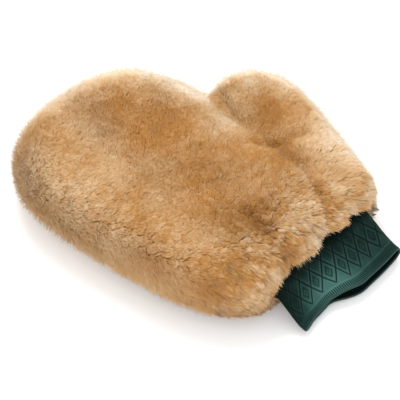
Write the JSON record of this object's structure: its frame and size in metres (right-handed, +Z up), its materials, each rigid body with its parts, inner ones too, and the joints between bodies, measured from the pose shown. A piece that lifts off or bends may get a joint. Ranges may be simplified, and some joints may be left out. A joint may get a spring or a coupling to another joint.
{
  "type": "wash mitt",
  "caption": "Sheepskin wash mitt with an integral thumb lobe, wool outside and suede inside, and a woven elastic wrist cuff.",
  "frame": {"origin": "on the surface that the mitt lies on, under the middle of its box", "axes": "+Y from the wrist cuff to the fingertips, +X towards the thumb, +Z up from the palm side to the back"},
  "size_m": [0.2302, 0.2915, 0.055],
  "materials": {
    "fleece": "soft sheared wool",
    "suede": "matte napped skin",
    "seam_thread": "matte",
    "cuff_cloth": "satin woven",
    "cuff_lining_cloth": "matte woven",
    "rubber_yarn": "matte",
    "cuff_thread": "matte"
  },
  "bodies": {
    "root": {"back_wool": "fleece", "palm_wool": "fleece", "back_pelt": "suede", "palm_pelt": "suede", "body_seam_thread": "seam_thread", "cuff_face_cloth": "cuff_cloth", "cuff_rubber_yarns": "rubber_yarn", "cuff_back_cloth": "cuff_lining_cloth", "cuff_side_seam_thread": "cuff_thread", "cuff_attaching_thread": "cuff_thread"}
  },
  "joints": []
}
